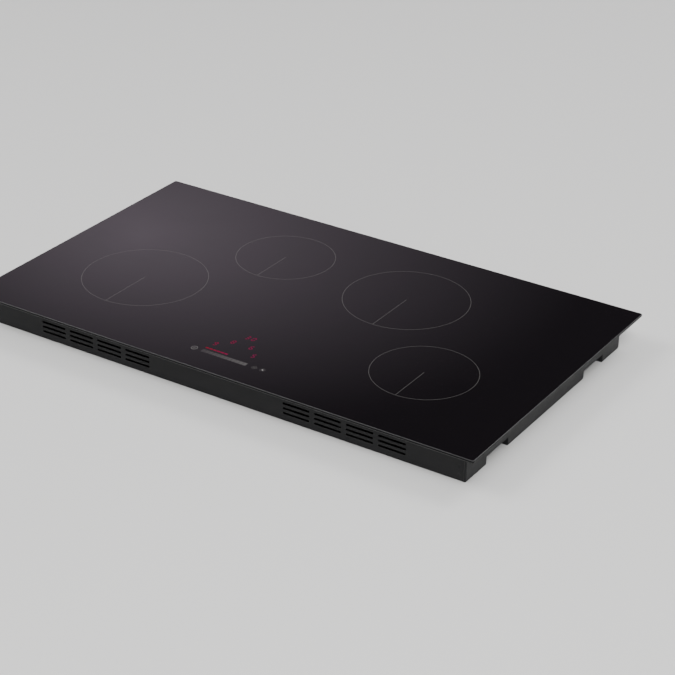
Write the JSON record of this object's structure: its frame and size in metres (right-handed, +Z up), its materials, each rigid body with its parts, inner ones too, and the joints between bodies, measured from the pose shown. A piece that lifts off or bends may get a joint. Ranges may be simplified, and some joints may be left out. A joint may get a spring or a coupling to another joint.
{
  "type": "induction cooktop",
  "caption": "Wide built-in induction cooktop: black glass slab with ring-marked cooking zones and touch controls over a shallow vented steel casing.",
  "frame": {"origin": "centre of the casing's underside", "axes": "+X to the cook's right, +Y towards the rear wall, +Z up"},
  "size_m": [0.9, 0.53, 0.056],
  "materials": {
    "ceramic_glass": "polished black glass-ceramic, printed from below",
    "printed_grey": "thin grey ceramic print of the zone rings, slider and key marks",
    "display_red": "red light of the digits and the level bar",
    "foam_seal": "matt closed-cell foam tape",
    "casing_steel": "satin black coated sheet steel",
    "galvanised_steel": "galvanised sheet steel with a soft spangle",
    "zinc_screw": "bright zinc plating",
    "aluminium_plate": "plain mill finish",
    "litz_copper": "lacquered copper litz wire",
    "ferrite": "matt dark grey ferrite",
    "mica": "pressed mica sheet",
    "sensor_ceramic": "matt off-white ceramic",
    "black_plastic": "fine-textured black moulding",
    "circuit_board": "green solder resist",
    "capacitor_film": "yellow epoxy-filled box",
    "display_diffuser": "translucent red light guide",
    "wire_sleeve": "flexible sleeve",
    "ribbon_grey": "grey flat cable"
  },
  "bodies": {
    "cooktop": {"board_carrier_left": "black_plastic", "board_carrier_right": "black_plastic", "bottom_casing": "casing_steel", "bus_capacitor_left": "capacitor_film", "bus_capacitor_right": "capacitor_film", "cable_gland": "black_plastic", "coil_former_front_left": "black_plastic", "coil_former_front_right": "black_plastic", "coil_former_rear_left": "black_plastic", "coil_former_rear_right": "black_plastic", "coil_plate_left": "aluminium_plate", "coil_plate_right": "aluminium_plate", "coil_winding_front_left": "litz_copper", "coil_winding_front_right": "litz_copper", "coil_winding_rear_left": "litz_copper", "coil_winding_rear_right": "litz_copper", "display_light_guide": "display_diffuser", "fan_housing_left": "black_plastic", "fan_housing_right": "black_plastic", "ferrite_star_front_left": "ferrite", "ferrite_star_front_right": "ferrite", "ferrite_star_rear_left": "ferrite", "ferrite_star_rear_right": "ferrite", "filter_board": "circuit_board", "glass_panel": "ceramic_glass", "heat_sink_left": "aluminium_plate", "heat_sink_right": "aluminium_plate", "mains_choke": "litz_copper", "mica_disc_front_left": "mica", "mica_disc_front_right": "mica", "mica_disc_rear_left": "mica", "mica_disc_rear_right": "mica", "power_board_left": "circuit_board", "power_board_right": "circuit_board", "rail_front": "galvanised_steel", "rail_left": "galvanised_steel", "rail_rear": "galvanised_steel", "rail_right": "galvanised_steel", "ribbon_cable": "ribbon_grey", "supply_lead_left": "wire_sleeve", "supply_lead_right": "wire_sleeve", "temperature_sensor_front_left": "sensor_ceramic", "temperature_sensor_front_right": "sensor_ceramic", "temperature_sensor_rear_left": "sensor_ceramic", "temperature_sensor_rear_right": "sensor_ceramic", "terminal_block": "black_plastic", "touch_board": "circuit_board", "touch_carrier": "black_plastic", "worktop_seal": "foam_seal"},
    "fan_wheel_left": {"fan_impeller_left": "black_plastic"},
    "fan_wheel_right": {"fan_impeller_right": "black_plastic"},
    "screw_front_left": {"clamp_screw_front_left": "zinc_screw"},
    "clamp_front_left": {"worktop_clamp_front_left": "galvanised_steel"},
    "screw_rear_left": {"clamp_screw_rear_left": "zinc_screw"},
    "clamp_rear_left": {"worktop_clamp_rear_left": "galvanised_steel"},
    "screw_front_right": {"clamp_screw_front_right": "zinc_screw"},
    "clamp_front_right": {"worktop_clamp_front_right": "galvanised_steel"},
    "screw_rear_right": {"clamp_screw_rear_right": "zinc_screw"},
    "clamp_rear_right": {"worktop_clamp_rear_right": "galvanised_steel"},
    "terminal_lid": {"terminal_cover": "black_plastic"}
  },
  "joints": [
    {"name": "fan_spin_left", "type": "hinge", "parent": "cooktop", "child": "fan_wheel_left", "pos_m": [-0.225, 0.13, 0.016], "axis": [0, 0, 1], "continuous": true},
    {"name": "fan_spin_right", "type": "hinge", "parent": "cooktop", "child": "fan_wheel_right", "pos_m": [0.225, 0.13, 0.016], "axis": [0, 0, 1], "continuous": true},
    {"name": "clamp_tighten_front_left", "type": "slide", "parent": "cooktop", "child": "screw_front_left", "axis": [0, 0, 1], "range_m": [0, 0.005]},
    {"name": "clamp_swing_front_left", "type": "hinge", "parent": "screw_front_left", "child": "clamp_front_left", "pos_m": [-0.402, -0.132, 0.004], "axis": [0, 0, -1], "range_deg": [0, 90]},
    {"name": "clamp_tighten_rear_left", "type": "slide", "parent": "cooktop", "child": "screw_rear_left", "axis": [0, 0, 1], "range_m": [0, 0.005]},
    {"name": "clamp_swing_rear_left", "type": "hinge", "parent": "screw_rear_left", "child": "clamp_rear_left", "pos_m": [-0.402, 0.132, 0.004], "axis": [0, 0, 1], "range_deg": [0, 90]},
    {"name": "clamp_tighten_front_right", "type": "slide", "parent": "cooktop", "child": "screw_front_right", "axis": [0, 0, 1], "range_m": [0, 0.005]},
    {"name": "clamp_swing_front_right", "type": "hinge", "parent": "screw_front_right", "child": "clamp_front_right", "pos_m": [0.402, -0.132, 0.004], "axis": [0, 0, 1], "range_deg": [0, 90]},
    {"name": "clamp_tighten_rear_right", "type": "slide", "parent": "cooktop", "child": "screw_rear_right", "axis": [0, 0, 1], "range_m": [0, 0.005]},
    {"name": "clamp_swing_rear_right", "type": "hinge", "parent": "screw_rear_right", "child": "clamp_rear_right", "pos_m": [0.402, 0.132, 0.004], "axis": [0, 0, -1], "range_deg": [0, 90]},
    {"name": "terminal_lid_hinge", "type": "hinge", "parent": "cooktop", "child": "terminal_lid", "pos_m": [0.338, 0.2427, 0.035], "axis": [1, 0, 0], "range_deg": [0, 100]}
  ]
}
